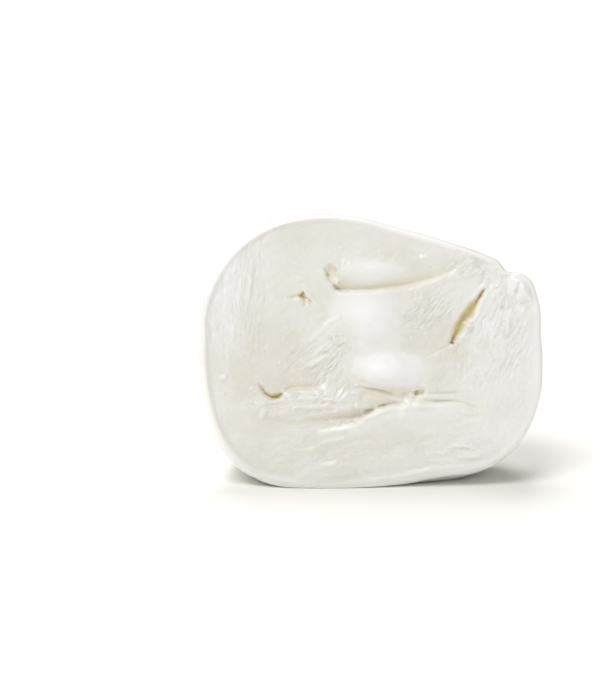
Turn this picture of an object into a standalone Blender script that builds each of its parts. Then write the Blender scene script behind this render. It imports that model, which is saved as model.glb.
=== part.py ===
"""Half a burrata: a pear-shaped ball of stretched curd, cut lengthwise through its knot.

The half lies on its sagged belly with the cut face to the front (-Y), leaning back a little.
Two solids: curd, which is the skin and the layered curd inside it in one piece, and cream,
the filling that shows in the middle of the cut face and fills a pocket behind it.

Shapes are first worked out in the frame of the cut face: u to the right, v up along the face
and w out of it towards the front, so that the ball lies at negative w. place() then leans the
face back and lets the belly sag flat on the table. Units are metres, +Z is up.
"""

import math

import bmesh
import bpy
from mathutils import Matrix, Vector, noise

MM = 0.001

# The ball's outline, where it is widest, seen square to the cut face.
HALF_LENGTH = 43.0 * MM
OUTLINE_U = 0.3 * MM
OUTLINE_V = 5.4 * MM
CROWN_HEIGHT = 26.2 * MM
BELLY_HEIGHT = 40.6 * MM
CROWN_TAPER = 0.45
BELLY_TAPER = 0.06
CROWN_LEFT_ROUNDNESS = 1.83
CROWN_RIGHT_ROUNDNESS = 4.0
BELLY_LEFT_ROUNDNESS = 3.0
BELLY_RIGHT_ROUNDNESS = 3.05

# How far the cut edge lies inside that outline, and how the ball closes behind it.
CUT_INSET = 1.5 * MM
CUT_INSET_BELOW = 1.7 * MM
CUT_INSET_RIGHT = 1.6 * MM
HALF_DEPTH = 37.0 * MM
DEPTH_TAPER = 0.16
BACK_ROUNDNESS = 2.1
UNDERSIDE_ROUNDNESS = 0.9

# How the half lies.
LEAN_BACK = math.radians(10)
FLOOR_V = -34.0 * MM
SAG_REACH = 1.2 * MM
SAG_SPREAD = 0.02
SAG_SPREAD_HEIGHT = 11.0 * MM

# The knot, where the pouch was pinched shut, and the pleats that gather into it.
KNOT_U = 37.8 * MM
KNOT_V = 15.0 * MM
KNOT_W = -3.4 * MM
KNOT_HALF = (4.6 * MM, 3.5 * MM, 4.2 * MM)
KNOT_TURN = math.radians(-42)
PLEATS = 7
PLEAT_DEPTH = 0.8 * MM
PLEAT_REACH = 20.0 * MM

# Folds on the cut face: each is a ledge that drops below the line and rises above it.
CROWN_FOLD = ((-8.2, 15.0), (-4.0, 14.9), (1.5, 15.1), (6.8, 15.7), (14.6, 17.2), (22.0, 19.6))
CROWN_FOLD_DEPTH = 2.4 * MM
BELLY_FOLD = ((-11.5, -20.1), (-6.0, -18.9), (-2.0, -16.5), (1.9, -14.9), (6.8, -13.4), (14.2, -13.1))
BELLY_FOLD += ((20.4, -13.0), (25.6, -14.4))
BELLY_FOLD_DEPTH = 2.8 * MM
LEFT_FOLD = ((-27.5, -8.8), (-25.6, -11.2), (-21.8, -11.2), (-17.8, -9.8), (-10.5, -9.4))
LEFT_FOLD_DEPTH = 1.3 * MM
FOLD_WIDTH = 2.6 * MM
LEDGE_WIDTH = 1.9 * MM
FOLD_END = 7.0 * MM
FACE_BULGE = 1.1 * MM

# The cream: a band down the middle of the face, wider in its upper pool and its lower lobe.
CREAM_TOP = 13.2 * MM
CREAM_BOTTOM = -10.0 * MM
CREAM_POOL_HALF = 7.6 * MM
CREAM_WAIST_HALF = 5.8 * MM
CREAM_LOBE_HALF = 8.0 * MM
CREAM_POOL_U = -1.2 * MM
CREAM_LOBE_U = 5.0 * MM
CREAM_SQUARENESS = 0.4
CREAM_PROUD = 1.1 * MM
CREAM_DEPTH = 12.0 * MM
POCKET_GAP = 0.3 * MM
POCKET_MOUTH = 6.0 * MM

# Cuts into the face: (u, v, half length, half width, depth, bend, turn in degrees), sizes in
# millimetres. Bend is how far the ends curl up from the middle.
SLITS = {
    "slit": (24.4, 8.9, 8.0, 1.15, 7.5, -0.5, 58),
    "slit_foot": (15.9, -0.7, 3.6, 0.45, 2.6, 0.4, 30),
    "hole_high": (-9.8, 17.0, 3.0, 0.95, 5.0, 0.4, -62),
    "hole_low": (-16.4, 12.2, 1.35, 0.8, 4.5, 0.0, -70),
    "crescent": (-24.6, -11.8, 3.3, 0.75, 5.0, 1.7, -8),
    "belly_pit": (12.2, -10.8, 1.4, 1.0, 5.0, 0.0, 10),
    "knot_seam": (32.2, 17.4, 2.8, 0.4, 2.2, 0.3, 24),
}

SEGMENTS = 88
FACE_ROWS = 22
RIM_ROWS = 3
BACK_ROWS = 15
CUTTER_SEGMENTS = 12
CUTTER_RINGS = 8
KNOT_SEGMENTS = 20
KNOT_RINGS = 12
CREAM_SEGMENTS = 30
CREAM_RINGS = 22


def clear_scene():
    for old in list(bpy.data.objects):
        bpy.data.objects.remove(old, do_unlink=True)


def new_collection(name):
    collection = bpy.data.collections.new(name)
    bpy.context.scene.collection.children.link(collection)
    return collection


def make_material(name, colour, roughness):
    """A Principled BSDF with this plain colour."""
    material = bpy.data.materials.new(name)
    material.use_nodes = True
    shader = material.node_tree.nodes["Principled BSDF"]
    shader.inputs["Base Color"].default_value = (*colour, 1.0)
    shader.inputs["Roughness"].default_value = roughness
    shader.inputs["Metallic"].default_value = 0.0
    material.diffuse_color = (*colour, 1.0)
    return material


def smooth_step(low, high, value):
    share = min(1.0, max(0.0, (value - low) / (high - low)))
    return share * share * (3.0 - 2.0 * share)


def outline(angle):
    """(u, v) from the outline's centre to where the ball is widest, in this direction."""
    across = math.cos(angle)
    up = math.sin(angle)
    if up < 0.0:
        roundness = BELLY_LEFT_ROUNDNESS if across < 0.0 else BELLY_RIGHT_ROUNDNESS
    else:
        roundness = CROWN_LEFT_ROUNDNESS if across < 0.0 else CROWN_RIGHT_ROUNDNESS
    radius = (abs(across) ** roundness + abs(up) ** roundness) ** (-1.0 / roundness)
    across *= radius
    up *= radius
    if up < 0.0:
        height = BELLY_HEIGHT * (1.0 - BELLY_TAPER * across)
    else:
        height = CROWN_HEIGHT * (1.0 - CROWN_TAPER * across)
    return HALF_LENGTH * across, height * up


def cut_inset(angle):
    """How far the cut edge lies inside the outline: most at the right and at the belly."""
    return (
        CUT_INSET
        + CUT_INSET_BELOW * max(0.0, -math.sin(angle))
        + CUT_INSET_RIGHT * max(0.0, math.cos(angle)) ** 2
    )


def fold(path, depth, u, v):
    """Relief of a ledge along a path: a bulge above the line that drops into a groove below it.

    The groove is sharp on its lower side and soft on its upper side, and it fades at both ends.
    """
    nearest = None
    for (u0, v0), (u1, v1) in zip(path, path[1:]):
        start = Vector((u0, v0)) * MM
        along = Vector((u1, v1)) * MM - start
        offset = Vector((u, v)) - start
        share = min(1.0, max(0.0, offset.dot(along) / along.length_squared))
        gap = offset - along * share
        if nearest is None or gap.length < nearest[0]:
            side = along.x * offset.y - along.y * offset.x
            nearest = (gap.length, math.copysign(gap.length, side))
    distance, above = nearest
    ends = min(
        (Vector((u, v)) - Vector(path[0]) * MM).length,
        (Vector((u, v)) - Vector(path[-1]) * MM).length,
    )
    strength = smooth_step(0.0, FOLD_END, ends)
    if above >= 0.0:
        groove = math.exp(-((distance / FOLD_WIDTH) ** 2))
        bulge = math.exp(-(((distance - 2.2 * FOLD_WIDTH) / (1.6 * FOLD_WIDTH)) ** 2))
        return strength * depth * (0.35 * bulge - groove)
    return -strength * depth * math.exp(-((distance / LEDGE_WIDTH) ** 2))


def face_relief(u, v):
    """Height of the cut face above its plane, w."""
    swell = 1.0 - (u / HALF_LENGTH) ** 2 - ((v - 1.0 * MM) / CROWN_HEIGHT) ** 2
    relief = FACE_BULGE * max(0.0, swell)
    relief += fold(CROWN_FOLD, CROWN_FOLD_DEPTH, u, v)
    relief += fold(BELLY_FOLD, BELLY_FOLD_DEPTH, u, v)
    relief += fold(LEFT_FOLD, LEFT_FOLD_DEPTH, u, v)
    waves = noise.noise(Vector((u, v, 0.0)) / (9.0 * MM))
    return relief + 0.35 * MM * waves


def pleats(u, v, w):
    """How far the skin dips, in the gathered pleats that run out from the knot."""
    away = Vector((u - KNOT_U, v - KNOT_V, w))
    reach = math.exp(-((away.length / PLEAT_REACH) ** 2)) * smooth_step(0.0, 5.0 * MM, away.length)
    turn = math.atan2(away.z, away.y)
    return PLEAT_DEPTH * reach * (0.5 + 0.5 * math.cos(PLEATS * turn))


def place(u, v, w):
    """A point of the cut face's frame, leaned back and sagged on to the table at z = 0."""
    x = u
    y = v * math.sin(LEAN_BACK) - w * math.cos(LEAN_BACK)
    z = v * math.cos(LEAN_BACK) + w * math.sin(LEAN_BACK) - FLOOR_V
    spread = 1.0 + SAG_SPREAD * math.exp(-((max(z, 0.0) / SAG_SPREAD_HEIGHT) ** 2))
    if z <= -SAG_REACH:
        z = 0.0
    elif z < SAG_REACH:
        z = (z + SAG_REACH) ** 2 / (4.0 * SAG_REACH)
    return Vector((x * spread, y * spread, z))


def ball_point(angle, row):
    """(u, v, w) of the half ball: rows run from the middle of the face over the edge to the back."""
    wide_u, wide_v = outline(angle)
    wide = math.hypot(wide_u, wide_v)
    inset = cut_inset(angle)
    rim_depth = 1.2 * inset + 1.0 * MM
    if row <= FACE_ROWS:
        share = row / FACE_ROWS * (1.0 - inset / wide)
        u = OUTLINE_U + wide_u * share
        v = OUTLINE_V + wide_v * share
        edge = 1.0 - smooth_step(0.9, 1.0, row / FACE_ROWS)
        return u, v, face_relief(u, v) * edge
    if row <= FACE_ROWS + RIM_ROWS:
        turn = (row - FACE_ROWS) / RIM_ROWS * math.pi / 2
        share = 1.0 - inset / wide * (1.0 - math.sin(turn))
        w = -rim_depth * (1.0 - math.cos(turn))
    else:
        turn = (row - FACE_ROWS - RIM_ROWS) / BACK_ROWS * math.pi / 2
        roundness = BACK_ROUNDNESS + UNDERSIDE_ROUNDNESS * max(0.0, -math.sin(angle))
        share = max(0.0, math.cos(turn)) ** (2.0 / roundness)
        depth = (HALF_DEPTH - rim_depth) * (1.0 - DEPTH_TAPER * math.cos(angle) * share)
        w = -rim_depth - depth * math.sin(turn) ** (2.0 / roundness)
    u = OUTLINE_U + wide_u * share
    v = OUTLINE_V + wide_v * share
    dip = pleats(u, v, w)
    return u * (1.0 - dip / wide), v - dip * wide_v / wide, w + 0.5 * dip


def finish_mesh(bm, name, collection, material=None):
    """The mesh as a smooth-shaded object in its collection, its faces turned outward."""
    if bm.calc_volume(signed=True) < 0.0:
        bmesh.ops.reverse_faces(bm, faces=bm.faces)
    mesh = bpy.data.meshes.new(name)
    bm.to_mesh(mesh)
    bm.free()
    mesh.shade_smooth()
    mesh.set_sharp_from_angle(angle=math.radians(50))
    obj = bpy.data.objects.new(name, mesh)
    collection.objects.link(obj)
    if material is None:
        obj.hide_render = True
        obj.display_type = "WIRE"
    else:
        mesh.materials.append(material)
    return obj


def add_boolean(obj, other, operation):
    modifier = obj.modifiers.new(other.name, "BOOLEAN")
    modifier.operation = operation
    modifier.solver = "EXACT"
    modifier.object = other


def make_curd_body(collection, material):
    """The half ball: a sphere whose rings are laid out over the face, the edge and the back."""
    rows = FACE_ROWS + RIM_ROWS + BACK_ROWS
    bm = bmesh.new()
    bmesh.ops.create_uvsphere(bm, u_segments=SEGMENTS, v_segments=rows, radius=1.0)
    for vertex in bm.verts:
        angle = math.atan2(vertex.co.y, vertex.co.x)
        row = math.acos(max(-1.0, min(1.0, vertex.co.z))) / math.pi * rows
        vertex.co = place(*ball_point(angle, row))
    return finish_mesh(bm, "curd", collection, material)


def make_knot(collection):
    """The stub of the knot, a small lump let into the corner of the half."""
    bm = bmesh.new()
    bmesh.ops.create_uvsphere(bm, u_segments=KNOT_SEGMENTS, v_segments=KNOT_RINGS, radius=1.0)
    turn = Matrix.Rotation(KNOT_TURN, 2)
    for vertex in bm.verts:
        in_face = turn @ Vector((vertex.co.x * KNOT_HALF[0], vertex.co.y * KNOT_HALF[1]))
        w = KNOT_W + vertex.co.z * KNOT_HALF[2]
        vertex.co = place(KNOT_U + in_face.x, KNOT_V + in_face.y, w)
    return finish_mesh(bm, "knot_shape", collection)


def cream_half_width(v):
    """Half the cream's width at this height: a pool above, a waist, and a lobe below."""
    middle = (CREAM_TOP + CREAM_BOTTOM) / 2
    if v > middle:
        share = smooth_step(middle, CREAM_TOP, v)
        return CREAM_WAIST_HALF + (CREAM_POOL_HALF - CREAM_WAIST_HALF) * share
    share = smooth_step(CREAM_BOTTOM / 2, CREAM_BOTTOM, v)
    return CREAM_WAIST_HALF + (CREAM_LOBE_HALF - CREAM_WAIST_HALF) * share


def cream_middle(v):
    share = smooth_step(CREAM_TOP, CREAM_BOTTOM, v)
    return CREAM_POOL_U + (CREAM_LOBE_U - CREAM_POOL_U) * share


def make_cream_shape(name, collection, material=None, grow=0.0, mouth=0.0):
    """The cream, a little proud of the face in front and bowl-shaped behind.

    grow makes it larger all round and mouth runs its front out of the face, for the pocket.
    """
    bm = bmesh.new()
    bmesh.ops.create_uvsphere(bm, u_segments=CREAM_SEGMENTS, v_segments=CREAM_RINGS, radius=1.0)
    middle = (CREAM_TOP + CREAM_BOTTOM) / 2
    half_height = (CREAM_TOP - CREAM_BOTTOM) / 2
    for vertex in bm.verts:
        # The sphere's poles are at the band's two ends.
        out, across, up = vertex.co.x, vertex.co.y, vertex.co.z
        girth = math.hypot(out, across)
        if girth > 0.01:
            across *= girth**CREAM_SQUARENESS / girth
        v = middle + half_height * up
        u = cream_middle(v) + (cream_half_width(v) + grow) * across
        v += grow * up
        if out > 0.0:
            w = face_relief(u, v) + CREAM_PROUD * out + mouth
        else:
            w = face_relief(u, v) * (1.0 + out) + (CREAM_DEPTH + grow) * out
            w += mouth * (1.0 - smooth_step(0.0, 0.15, -out))
        vertex.co = place(u, v, w)
    return finish_mesh(bm, name, collection, material)


def make_slit_cutter(name, size, collection):
    """A lens that opens the face: long along its turn, narrow across it, and deep."""
    u_mm, v_mm, half_length, half_width, depth, bend, turn_degrees = size
    middle_u = u_mm * MM
    middle_v = v_mm * MM
    turn = Matrix.Rotation(math.radians(turn_degrees), 2)
    bm = bmesh.new()
    bmesh.ops.create_uvsphere(bm, u_segments=CUTTER_SEGMENTS, v_segments=CUTTER_RINGS, radius=1.0)
    top = face_relief(middle_u, middle_v)
    for vertex in bm.verts:
        # The poles point along the slit, so that its ends are sharp.
        across = vertex.co.y * half_width + bend * vertex.co.z**2
        in_face = turn @ Vector((vertex.co.z * half_length, across)) * MM
        w = top + vertex.co.x * depth * MM
        vertex.co = place(middle_u + in_face.x, middle_v + in_face.y, w)
    return finish_mesh(bm, name + "_shape", collection)


def stand_at_origin(shown, helpers):
    """Moves everything so that the origin is under the middle of the half, at the table."""
    bpy.context.view_layer.update()
    graph = bpy.context.evaluated_depsgraph_get()
    corners = []
    for obj in shown:
        mesh = obj.evaluated_get(graph).to_mesh()
        corners += [vertex.co.copy() for vertex in mesh.vertices]
        obj.evaluated_get(graph).to_mesh_clear()
    middle = [(min(c[axis] for c in corners) + max(c[axis] for c in corners)) / 2 for axis in (0, 1)]
    shift = Vector((-middle[0], -middle[1], 0.0))
    for obj in shown + helpers:
        obj.data.transform(Matrix.Translation(shift))


def main():
    clear_scene()
    burrata = new_collection("burrata_half")
    cutters = new_collection("cutters")
    cutters.hide_render = True

    curd_material = make_material("curd", (0.80, 0.77, 0.69), 0.45)
    cream_material = make_material("cream", (0.88, 0.86, 0.81), 0.25)

    curd = make_curd_body(burrata, curd_material)
    cream = make_cream_shape("cream", burrata, cream_material)
    helpers = [make_knot(cutters)]
    add_boolean(curd, helpers[0], "UNION")
    pocket = make_cream_shape("pocket_shape", cutters, grow=POCKET_GAP, mouth=POCKET_MOUTH)
    helpers.append(pocket)
    add_boolean(curd, pocket, "DIFFERENCE")
    for name, size in SLITS.items():
        helpers.append(make_slit_cutter(name, size, cutters))
        add_boolean(curd, helpers[-1], "DIFFERENCE")
    stand_at_origin([curd, cream], helpers)


main()
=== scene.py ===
"""The looks of half a burrata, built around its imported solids.

A pear-shaped ball of stretched curd, cut lengthwise through its knot, lies on its sagged belly with
the cut face to the front. One closed mesh carries the skin and the curd, so that light passes from
one to the other inside it. The cream lies in a hollow of that mesh, and small torn flakes and fibres
of curd are laid on the face by geometry nodes.

Shapes are worked out in millimetres in the frame of the cut face: u to the right, v up along the
face and w out of it, so that the ball lies at negative w. settle() spreads the soft body behind the
cut, and place() leans the face back and flattens the belly on the table.
"""

import itertools
import math

import bpy
import numpy as np
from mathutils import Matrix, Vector


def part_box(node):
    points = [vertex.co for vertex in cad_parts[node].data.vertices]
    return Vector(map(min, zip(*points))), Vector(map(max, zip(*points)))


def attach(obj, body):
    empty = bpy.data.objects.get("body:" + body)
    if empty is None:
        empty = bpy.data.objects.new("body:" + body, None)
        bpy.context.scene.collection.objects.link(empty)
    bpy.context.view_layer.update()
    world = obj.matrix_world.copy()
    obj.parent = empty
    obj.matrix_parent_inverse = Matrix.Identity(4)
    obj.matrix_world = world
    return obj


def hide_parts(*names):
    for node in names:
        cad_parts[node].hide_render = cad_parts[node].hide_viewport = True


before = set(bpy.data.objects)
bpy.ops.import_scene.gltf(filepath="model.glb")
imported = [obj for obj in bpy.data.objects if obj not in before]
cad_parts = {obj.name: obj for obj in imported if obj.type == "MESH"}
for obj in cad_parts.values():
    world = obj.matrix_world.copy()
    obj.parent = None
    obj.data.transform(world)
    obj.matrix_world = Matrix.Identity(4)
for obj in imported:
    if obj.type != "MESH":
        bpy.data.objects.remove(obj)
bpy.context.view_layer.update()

MM = 0.001

# The ball's outline where it is widest, and how it closes behind, much as in the solids.
HALF_LENGTH = 43.0
OUTLINE_U, OUTLINE_V = 0.3, 5.4
CROWN_HEIGHT, CROWN_TAPER = 26.2, 0.45
BELLY_HEIGHT, BELLY_TAPER = 40.6, 0.06
CROWN_ROUNDNESS = (1.83, 4.0)
BELLY_ROUNDNESS = (3.0, 3.05)
HALF_DEPTH, DEPTH_TAPER = 37.0, 0.16
BACK_ROUNDNESS, UNDERSIDE_ROUNDNESS = 2.1, 0.9
# How far the cut edge lies inside that outline: everywhere, and how much more below and at the right.
CUT_INSET, CUT_INSET_BELOW, CUT_INSET_RIGHT = 1.0, 0.6, 0.1
FACE_BULGE = 1.1
# The lean of the face, the table's place below its middle, and the flattened foot: how far its
# rounding reaches, how much wider it gets, and up to what height.
LEAN_BACK = math.radians(10)
FLOOR_V = -34.0
SAG_REACH, SAG_SPREAD, SAG_SPREAD_HEIGHT = 0.6, 0.02, 11.0

# The knot in the ball and on the cut face, and how far back its step in the outline goes.
KNOT = np.array((38.0, 15.0, -3.0))
KNOT_ON_FACE = (38.0, 15.6)
KNOT_BACK = 9.0

# How finely the half is meshed. The skin behind has half as many points round as the face.
ROUND = 640
FACE_ROWS = 104
RIM_ROWS = 8
BACK_ROWS = 78
FACE_ROW_BIAS = 0.8

# The ways in which the curd was pulled, in degrees from level.
WAYS = {"slanting": 45.0, "steep": 66.0, "level": 8.0, "upright": 86.0}


# ---------------------------------------------------------------- small tools for shapes

def smooth(low, high, value):
    """An even rise from 0 at low to 1 at high; a fall from 1 to 0 where low is the greater one."""
    share = np.clip((value - low) / (high - low), 0.0, 1.0)
    return share * share * (3.0 - 2.0 * share)


def hump(value, width):
    """A bell curve: 1 at zero, and a little over a third at the width."""
    return np.exp(-((value / width) ** 2))


def lattice(points, seed):
    """Smooth random values from -1 to 1 at these points, with one new value to each unit."""
    cell = np.floor(points).astype(np.int64)
    part = points - cell
    fade = part**3 * (part * (part * 6.0 - 15.0) + 10.0)
    total = np.zeros(points.shape[:-1])
    for corner in itertools.product((0, 1), repeat=points.shape[-1]):
        key = np.full(points.shape[:-1], seed * 668265263, np.int64)
        weight = np.ones(points.shape[:-1])
        for axis, (side, prime) in enumerate(zip(corner, (73856093, 19349663, 83492791))):
            key ^= (cell[..., axis] + side) * prime
            weight *= fade[..., axis] if side else 1.0 - fade[..., axis]
        key = (key ^ (key >> 13)) * 1274126177 & 0x7FFFFFFF
        key = (key ^ (key >> 15)) * 668265263 & 0x7FFFFFFF
        total += weight * ((key >> 8) % 65536 / 32767.5 - 1.0)
    return total


def waves(u, v, length, width, seed):
    """Smooth random waves on the face, of this length along u and this width along v."""
    return lattice(np.stack((u / length, v / width), -1), seed)


def turned(u, v, degrees):
    """The same places measured along a direction and across it."""
    turn = math.radians(degrees)
    return u * math.cos(turn) + v * math.sin(turn), v * math.cos(turn) - u * math.sin(turn)


def pulled_grain(u, v, degrees, length, width, seed):
    """Grain drawn out along the direction in which the curd was pulled."""
    along, across = turned(u, v, degrees)
    coarse = waves(along, across, 2.3 * length, 2.1 * width, seed + 1)
    return 0.6 * waves(along, across, length, width, seed) + 0.4 * coarse


def torn(u, v, degrees, length, width, seed):
    """Torn curd drawn out along one direction: ragged ridges with finer ones between, about 0 to 1."""
    along, across = turned(u, v, degrees)
    along = along + 0.9 * waves(u, v, 2.9, 2.9, seed + 5)
    across = across + 0.6 * waves(u, v, 2.1, 2.1, seed + 6)
    ridges = 0.0
    for share, size, offset in ((0.5, 1.0, 0), (0.32, 0.58, 1), (0.18, 0.36, 2)):
        wave = waves(along, across, length * size, width * size, seed + offset)
        ridges = ridges + share * (1.0 - np.abs(wave)) ** 3
    return ridges


def soft_patch(u, v, middle, half, degrees=0.0, inner=0.7, outer=1.5):
    """1 within an oval, fading to 0 outside it; inner and outer are shares of its size."""
    along, across = turned(u - middle[0], v - middle[1], degrees)
    return smooth(outer, inner, np.hypot(along / half[0], across / half[1]))


class Line:
    """A smooth line on the face through a few places, with a value for each place if given."""

    def __init__(self, places, values=None, steps=10):
        places = np.array(places, float)
        ends = np.vstack((2 * places[0] - places[1], places, 2 * places[-1] - places[-2]))
        share = np.arange(steps)[:, None] / steps
        pieces = []
        for a, b, c, d in zip(ends, ends[1:], ends[2:], ends[3:]):
            bend = (2 * a - 5 * b + 4 * c - d) * share**2 + (3 * b - a - 3 * c + d) * share**3
            pieces.append(0.5 * (2 * b + (c - a) * share + bend))
        self.points = np.vstack(pieces + [places[-1:]])
        count = len(self.points)
        self.values = None
        if values is not None:
            stops = np.linspace(0, count - 1, len(places))
            self.values = np.interp(np.arange(count), stops, values)
        steps_long = np.linalg.norm(np.diff(self.points, axis=0), axis=1)
        self.length = steps_long.sum()
        self.travelled = np.concatenate(([0.0], np.cumsum(steps_long)))

    def beside(self, u, v):
        """Distance to the line, positive on its left, how far along it in mm, and its value."""
        start, run = self.points[:-1], np.diff(self.points, axis=0)
        best = np.full(u.shape, 1e9)
        side = np.ones(u.shape)
        where = np.zeros(u.shape)
        for index, ((su, sv), (ru, rv)) in enumerate(zip(start, run)):
            share = np.clip(((u - su) * ru + (v - sv) * rv) / (ru * ru + rv * rv), 0.0, 1.0)
            off_u, off_v = u - su - ru * share, v - sv - rv * share
            gap = off_u * off_u + off_v * off_v
            nearer = gap < best
            best = np.where(nearer, gap, best)
            side = np.where(nearer, np.sign(ru * off_v - rv * off_u), side)
            where = np.where(nearer, index + share, where)
        mm = np.interp(where, np.arange(len(self.travelled)), self.travelled)
        value = 1.0 if self.values is None else np.interp(where, np.arange(len(self.values)), self.values)
        return np.sqrt(best) * side, mm, value

    def fade(self, mm, ends):
        """1 along the line, running out to 0 at both ends."""
        return smooth(0.0, ends, mm) * smooth(self.length, self.length - ends, mm)


# ---------------------------------------------------------------- the ball

def outline(angle):
    """(u, v) from the outline's middle to where the ball is widest, without the knot."""
    across, up = np.cos(angle), np.sin(angle)
    crown = np.where(across < 0, *CROWN_ROUNDNESS)
    belly = np.where(across < 0, *BELLY_ROUNDNESS)
    power = np.where(up < 0, belly, crown)
    radius = (np.abs(across) ** power + np.abs(up) ** power) ** (-1.0 / power)
    across, up = across * radius, up * radius
    below = BELLY_HEIGHT * (1.0 - BELLY_TAPER * across)
    above = CROWN_HEIGHT * (1.0 - CROWN_TAPER * across)
    return HALF_LENGTH * across, np.where(up < 0, below, above) * up


def knot_outline(turn):
    """How far the outline stands out or in by the knot: flatter below it, and a step above it."""
    turn = np.degrees(turn)
    flat = smooth(-26.0, 2.0, turn) * smooth(17.5, 9.0, turn)
    step = smooth(20.2, 21.7, turn) * smooth(28.5, 22.0, turn)
    return 0.25 * hump(turn - 18.6, 2.0) - 1.35 * flat - 1.75 * step


def even_angles(count):
    """Turns that put points at equal steps round the outline."""
    fine = np.linspace(0.0, 2 * math.pi, 8001)
    u, v = outline(fine)
    travelled = np.concatenate(([0.0], np.cumsum(np.hypot(np.diff(u), np.diff(v)))))
    return np.interp(np.arange(count) / count * travelled[-1], travelled, fine)


def cut_inset(angle):
    """How far the cut edge lies inside the outline."""
    below = np.maximum(0.0, -np.sin(angle))
    right = np.maximum(0.0, np.cos(angle))
    return CUT_INSET + CUT_INSET_BELOW * below + CUT_INSET_RIGHT * right**2


def place(u, v, w):
    """Leans the face back and flattens the belly on the table. Millimetres in and out."""
    y = v * math.sin(LEAN_BACK) - w * math.cos(LEAN_BACK)
    z = v * math.cos(LEAN_BACK) + w * math.sin(LEAN_BACK) - FLOOR_V
    spread = 1.0 + SAG_SPREAD * np.exp(-((np.maximum(z, 0.0) / SAG_SPREAD_HEIGHT) ** 2))
    sunk = np.where(z < SAG_REACH, (z + SAG_REACH) ** 2 / (4 * SAG_REACH), z)
    z = np.where(z <= -SAG_REACH, 0.0, sunk)
    return np.stack((u * spread, y * spread, z), -1)


def settle(u, v, w):
    """Where v comes to lie once the soft body behind the cut has spread down on to the table.

    It spreads most left of the middle and least at the two lower corners. Right of the middle the
    cut edge curls up.
    """
    depth = np.maximum(0.0, -w)
    curl = 2.0 * hump(u - 16.0, np.where(u < 16.0, 14.0, 9.0))
    curl = curl * smooth(-18.0, -32.0, v) * smooth(9.0, 2.5, depth)
    left, corner, right = smooth(4.0, -14.0, u), smooth(-14.0, -26.0, u), smooth(4.0, 24.0, u)
    near = (0.20 + 0.12 * left - 0.27 * corner - 0.15 * right) * np.minimum(depth, 7.0)
    far = (0.20 - 0.08 * left - 0.06 * corner) * np.clip(depth - 7.0, 0.0, 13.0)
    return v + curl - (near + far) * smooth(-8.0, -26.0, v)


# ---------------------------------------------------------------- places on the cut face

# The ledge under the crown's fold runs from the upper hole to the right, with its depth on the way.
CROWN_LEDGE = Line(
    ((-9.2, 14.4), (-8.2, 14.2), (-4.2, 14.1), (-0.6, 14.2), (4.1, 14.7), (9.4, 15.4), (14.6, 16.8),
     (17.8, 17.9), (22.5, 20.0)),
    (0.9, 1.7, 1.9, 2.0, 1.9, 1.6, 1.1, 0.6, 0.1),
)
# The long crack above the belly layer, with its depth on the way.
BELLY_LEDGE = Line(
    ((-14.4, -20.7), (-10.4, -20.2), (-6.7, -19.6), (-3.6, -18.6), (-1.6, -16.9), (0.7, -15.8),
     (3.1, -14.9), (6.1, -14.1), (10.5, -13.9), (14.2, -13.8), (20.4, -13.5), (24.4, -13.9)),
    (0.15, 0.5, 0.8, 1.0, 1.05, 1.35, 1.65, 1.45, 0.8, 0.6, 0.3, 0.1),
)
# Torn edges: line, depth behind it, how far that reaches, lip height and reach, how the ends fade,
# and half the width of the step. Drawn so that the set-back side is on the left of the line.
LEDGES = (
    (((-18.2, -24.5), (-14.9, -24.2), (-12.4, -23.2), (-10.9, -22.4), (-8.0, -21.9), (-5.0, -20.9)),
     0.35, 1.5, 0.15, 1.6, 2.4, 0.6),
    (((-29.5, -23.6), (-24.0, -24.0), (-18.6, -23.7)), 0.15, 1.8, 0.1, 1.6, 4.0, 0.6),
    (((-21.6, -10.6), (-19.8, -10.1), (-17.8, -9.9), (-14.4, -9.8), (-11.9, -9.7)),
     1.0, 1.6, 0.6, 2.4, 1.4, 0.6),
    (((-11.6, -9.7), (-11.0, -7.8), (-10.5, -5.2)), 0.6, 1.2, 0.3, 0.8, 1.2, 0.5),
    (((-12.6, 5.7), (-9.2, 7.2), (-5.2, 8.3)), 0.10, 1.2, 0.22, 1.2, 2.2, 0.6),
    # These face down, so that they shade what is below them.
    (((-19.4, -12.4), (-24.2, -13.4), (-28.0, -14.6)), 0.3, 1.2, 0.25, 1.4, 2.4, 0.6),
    (((-4.4, -12.9), (-9.4, -13.0), (-14.0, -12.6), (-18.0, -12.3)), 0.45, 1.0, 0.35, 1.4, 2.4, 0.5),
    (((-2.0, -15.0), (-6.7, -15.8), (-10.4, -16.6), (-14.4, -16.9), (-18.1, -17.0)),
     1.1, 2.2, 0.7, 2.4, 4.0, 0.9),
    (((-14.0, -17.6), (-18.4, -17.9), (-23.3, -17.3), (-26.4, -15.9)), 0.4, 2.0, 0.35, 2.2, 4.0, 1.0),
    (((-8.4, -14.2), (-12.4, -14.6), (-16.9, -14.9), (-20.8, -14.7)), 0.5, 1.2, 0.4, 1.2, 2.4, 0.5),
    (((22.0, -10.5), (17.0, -10.6), (12.6, -10.9)), 0.55, 0.9, 0.2, 0.8, 1.8, 0.5),
    (((8.4, -13.2), (6.6, -13.0), (4.4, -12.3), (1.9, -11.4), (-0.6, -10.9), (-3.6, -10.8)),
     1.1, 2.0, 0.45, 0.8, 1.8, 0.8),
    (((0.6, -14.5), (-1.2, -15.2), (-3.2, -15.1), (-4.6, -14.3)), 0.7, 0.9, 0.2, 0.6, 0.8, 0.5),
    (((26.3, -15.0), (24.2, -13.7), (21.1, -12.9), (17.5, -12.7), (14.4, -12.5)),
     0.4, 0.8, 0.2, 0.8, 1.2, 0.4),
    (((28.9, -15.3), (25.0, -16.4), (22.4, -16.1), (20.6, -15.3)), 0.3, 0.6, 0.15, 0.6, 1.2, 0.4),
)
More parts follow.
